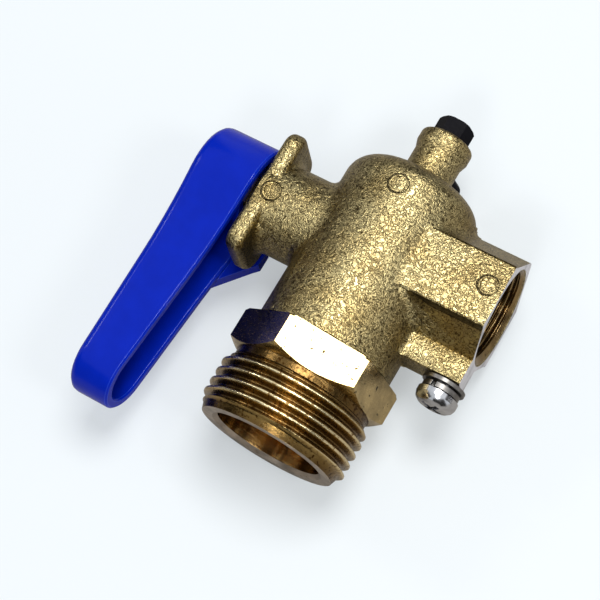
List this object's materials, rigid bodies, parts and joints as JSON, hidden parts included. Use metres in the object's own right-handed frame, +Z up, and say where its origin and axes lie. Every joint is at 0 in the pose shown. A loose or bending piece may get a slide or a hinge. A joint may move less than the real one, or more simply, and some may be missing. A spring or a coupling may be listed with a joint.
{
  "type": "three-way tap",
  "caption": "Three-way ball tap: male inlet below a hexagon, female side outlet, lever with a stop, and a vent nozzle on top closed by a small hexagon plug.",
  "frame": {"origin": "centre of the inlet's end face, where the male thread starts", "axes": "+Z up along the inlet axis towards the vent nozzle, +X out of the female outlet, -Y is the front"},
  "size_m": [0.0725, 0.0344, 0.0887],
  "materials": {
    "cast_brass": "shot-blasted casting",
    "machined_brass": "turned and milled",
    "ball_chrome": "polished plating",
    "blue_plastic": "smooth moulding",
    "black_plastic": "satin moulding",
    "white_seal": "turned seal plastic",
    "black_rubber": "smooth",
    "plated_steel": "bright plating"
  },
  "bodies": {
    "tap_body": {"valve_body": "cast_brass", "end_connector": "machined_brass", "connector_o_ring": "black_rubber", "inlet_seat": "white_seal", "outlet_seat": "white_seal", "stem_thrust_washer": "white_seal", "vent_spout": "black_plastic", "bonding_screw": "plated_steel", "spring_washer": "plated_steel", "flat_washer": "plated_steel"},
    "lever_set": {"lever": "blue_plastic", "lever_washer": "plated_steel", "lever_screw": "plated_steel", "stem": "machined_brass", "stem_o_ring_1": "black_rubber", "stem_o_ring_2": "black_rubber", "ball": "ball_chrome"},
    "plug_ring": {"vent_plug_o_ring": "black_rubber"},
    "plug": {"vent_plug": "black_plastic"}
  },
  "joints": [
    {"name": "lever_turn", "type": "hinge", "parent": "tap_body", "child": "lever_set", "pos_m": [0, 0, 0.046], "axis": [1, 0, 0], "range_deg": [0, 90]},
    {"name": "plug_lift", "type": "slide", "parent": "tap_body", "child": "plug_ring", "axis": [0, 0, 1], "range_m": [0, 0.002]},
    {"name": "plug_turn", "type": "hinge", "parent": "plug_ring", "child": "plug", "pos_m": [0, 0, 0.0763], "axis": [0, 0, 1], "range_deg": [0, 720.1]}
  ],
  "couplings": [
    {"joint": "plug_turn", "follows": "plug_lift", "rad_per_m": 6283.2}
  ]
}
